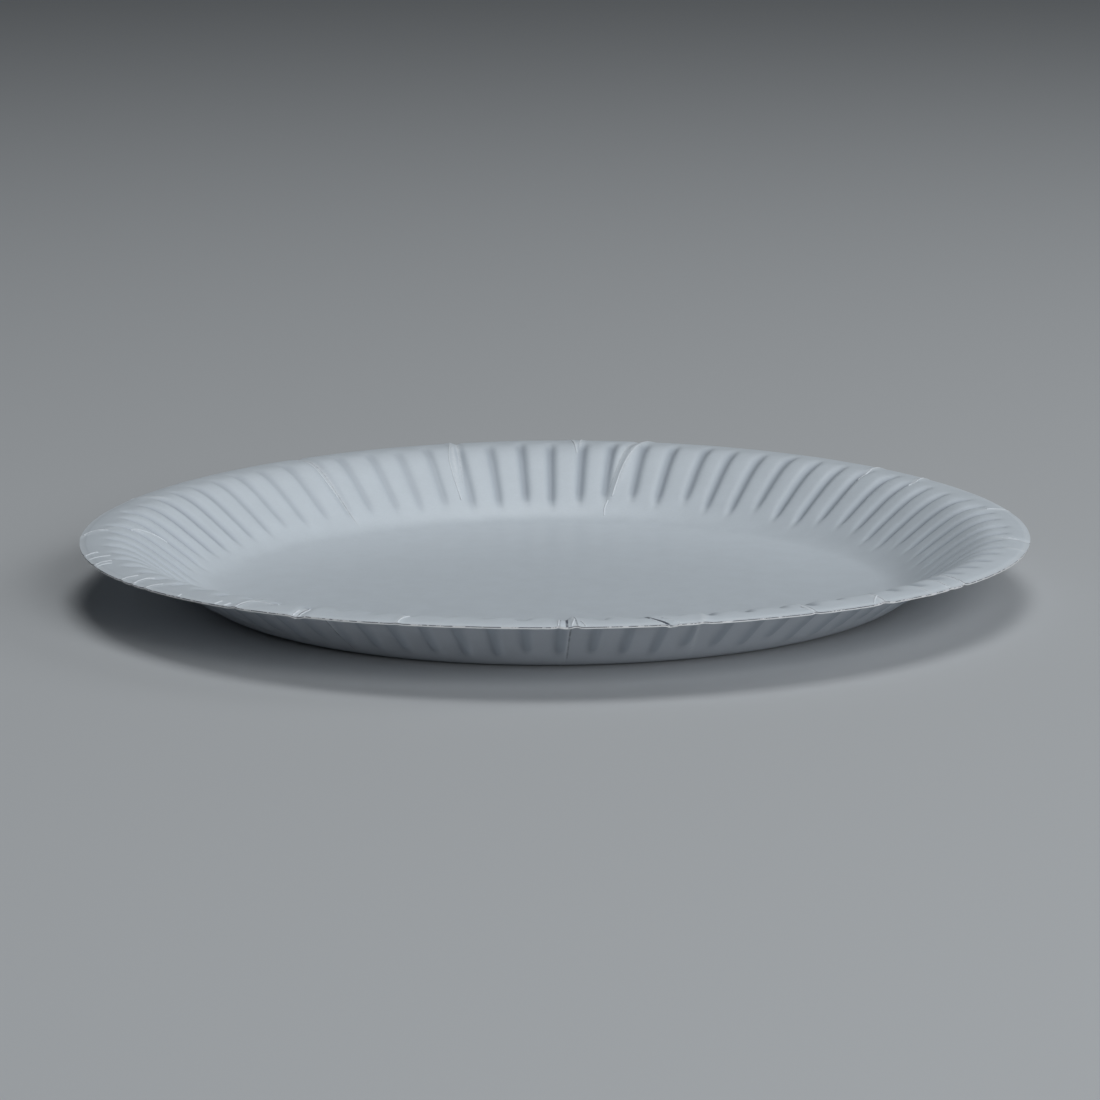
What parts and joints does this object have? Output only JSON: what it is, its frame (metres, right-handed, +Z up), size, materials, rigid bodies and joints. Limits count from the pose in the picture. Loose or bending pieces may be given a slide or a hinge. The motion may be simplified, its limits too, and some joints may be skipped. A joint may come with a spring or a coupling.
{
  "type": "paper plate",
  "caption": "Round one-piece paperboard plate with a flat floor, a fluted sloping wall, a narrow flange and small pressed gathers round the rim.",
  "frame": {"origin": "middle of the underside of the flat floor, on the surface the plate rests on", "axes": "+Z up through the open side, -Y towards the picture's viewer, +X to the viewer's right"},
  "size_m": [0.23, 0.23, 0.0173],
  "materials": {
    "paperboard": "uncoated white board, dry matt with a faint pressed sheen"
  },
  "bodies": {
    "root": {"plate": "paperboard"}
  },
  "joints": []
}
